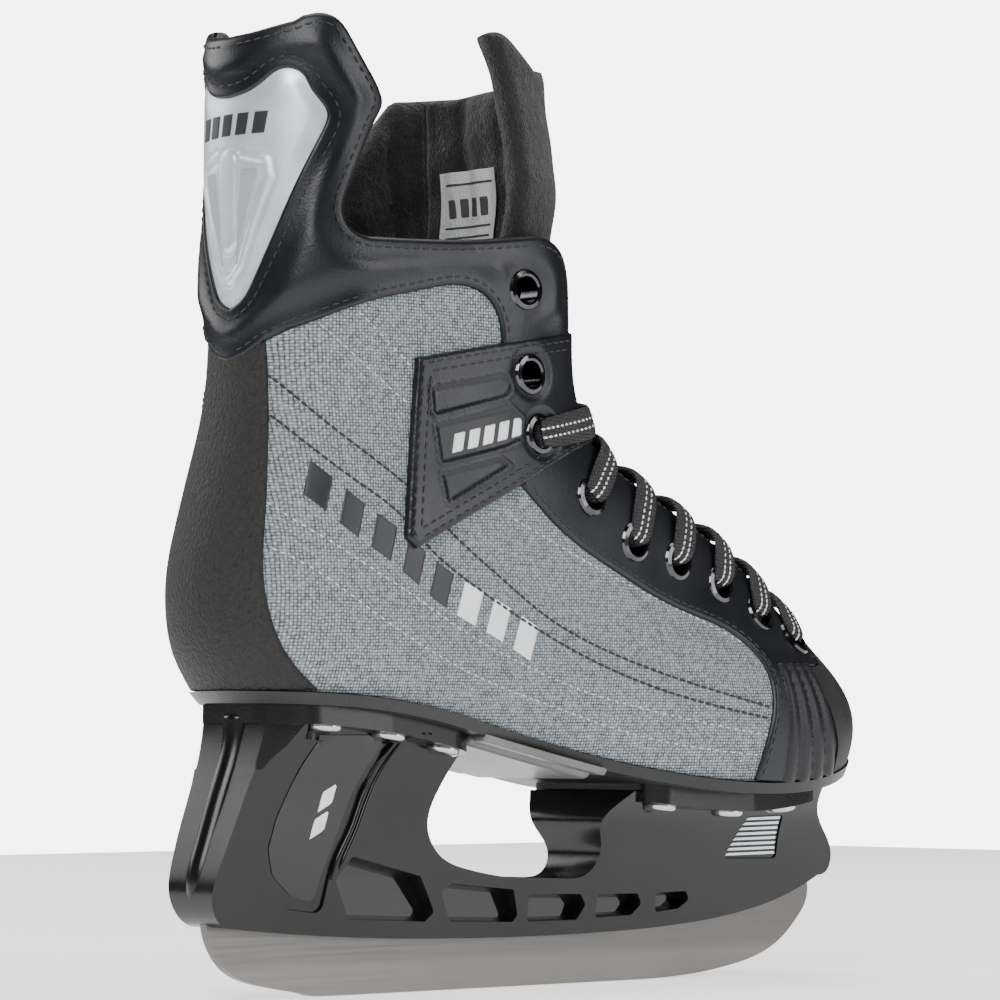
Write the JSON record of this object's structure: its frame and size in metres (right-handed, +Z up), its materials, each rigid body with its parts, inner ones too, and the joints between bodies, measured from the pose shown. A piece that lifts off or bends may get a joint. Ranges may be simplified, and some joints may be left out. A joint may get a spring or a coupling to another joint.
{
  "type": "ice skate",
  "caption": "Recreational hockey ice skate for the right foot: laced boot with tendon guard and padded tongue on a riveted plastic holder with a steel runner.",
  "frame": {"origin": "on the ice, at the middle of the runner's flat edge", "axes": "+X towards the toe, +Z up, -Y towards the outer side of the right foot"},
  "size_m": [0.244, 0.0934, 0.2745],
  "materials": {
    "nylon": "blue-grey coarse woven nylon",
    "black_pu": "black coated leather, soft sheen",
    "black_suede": "black napped leather",
    "felt": "black napped felt",
    "foam": "soft foam",
    "board": "fibre board",
    "silver_plastic": "satin silver moulding",
    "black_plastic": "satin to gloss black moulding",
    "toe_plastic": "matt charcoal moulding",
    "outsole_rubber": "dark grey moulded sole",
    "steel": "brushed runner steel",
    "nickel": "nickel-plated rivets",
    "black_nickel": "black nickel eyelets",
    "lace": "flat woven black lace with white tracer",
    "aglet": "clear-coated lace tip",
    "label": "white woven label",
    "shank_steel": "spring steel"
  },
  "bodies": {
    "boot": {"quarter_lateral": "nylon", "eyestay_lateral": "black_pu", "ankle_patch_lateral": "black_pu", "vamp_ribs_lateral": "black_pu", "foam_lateral": "foam", "lining_lateral": "felt", "eyelets_lateral": "black_nickel", "quarter_medial": "nylon", "eyestay_medial": "black_pu", "ankle_patch_medial": "black_pu", "vamp_ribs_medial": "black_pu", "foam_medial": "foam", "lining_medial": "felt", "eyelets_medial": "black_nickel", "vamp": "black_pu", "ankle_pads": "foam", "heel_stiffener": "board", "ankle_collar": "black_pu", "heel_strip": "black_suede", "toe_cap": "toe_plastic", "guard_insert_tip": "silver_plastic", "tongue_facing_lower": "black_pu", "tongue_foam_lower": "foam", "tongue_felt_lower": "felt", "outsole": "outsole_rubber", "arch_shank": "shank_steel", "insole_board": "board", "footbed": "felt", "heel_rivets": "nickel", "toe_rivets": "nickel", "heel_rivet_washers": "nickel", "toe_rivet_washers": "nickel", "runner": "steel", "blade_holder": "black_plastic", "lace": "lace", "aglets": "aglet"},
    "tendon_guard": {"tendon_guard_shell": "black_pu", "guard_foam": "foam", "guard_lining": "felt", "guard_insert": "silver_plastic"},
    "tongue_top": {"tongue_facing_upper": "felt", "tongue_foam_upper": "foam", "tongue_felt_upper": "felt", "tongue_label": "label"}
  },
  "joints": [
    {"name": "tendon_guard_flex", "type": "hinge", "parent": "boot", "child": "tendon_guard", "pos_m": [-0.1097, 0, 0.21415], "axis": [0, -1, 0], "range_deg": [0, 12], "stiffness_Nm_per_rad": 2},
    {"name": "tongue_fold", "type": "hinge", "parent": "boot", "child": "tongue_top", "pos_m": [-0.0062, 0, 0.21615], "axis": [0, 1, 0], "range_deg": [0, 45], "stiffness_Nm_per_rad": 0.15}
  ]
}
